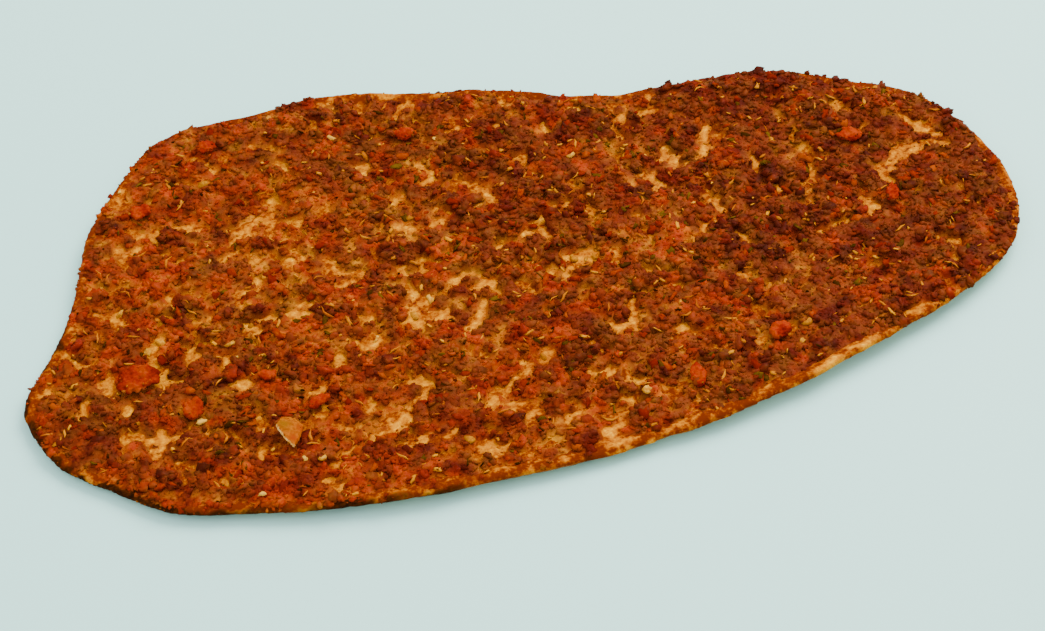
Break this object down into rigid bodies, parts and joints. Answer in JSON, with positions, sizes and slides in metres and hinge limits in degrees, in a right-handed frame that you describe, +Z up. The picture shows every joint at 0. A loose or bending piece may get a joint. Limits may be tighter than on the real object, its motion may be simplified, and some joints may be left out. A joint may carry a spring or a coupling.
{
  "type": "lahmacun",
  "caption": "Oblong thin crisp flatbread baked with a layer of minced meat, red pepper, tomato and herbs.",
  "frame": {"origin": "under the middle of the bread's box, on the surface that it rests on", "axes": "+X along the bread towards its narrower end, +Z up out of the topping"},
  "size_m": [0.3494, 0.2002, 0.0103],
  "materials": {
    "crust": "dry baked flatbread, yellow-orange with darker baked edges",
    "cooked_meat": "rough cooked minced meat with oil, dark brown",
    "tomato": "baked tomato flesh, moist red",
    "red_pepper": "baked red pepper, moist orange-red",
    "yellow_pepper": "baked yellow pepper with a pale cut edge"
  },
  "bodies": {
    "root": {"bread": "crust", "meat_topping": "cooked_meat", "pepper_chip_01": "red_pepper", "pepper_chip_02": "red_pepper", "pepper_chip_03": "red_pepper", "pepper_chip_04": "red_pepper", "pepper_chip_05": "red_pepper", "pepper_chip_06": "red_pepper", "pepper_chip_07": "red_pepper", "pepper_chip_08": "red_pepper", "pepper_chip_09": "red_pepper", "pepper_shard": "yellow_pepper", "tomato_piece_01": "tomato", "tomato_piece_02": "tomato"}
  },
  "joints": []
}
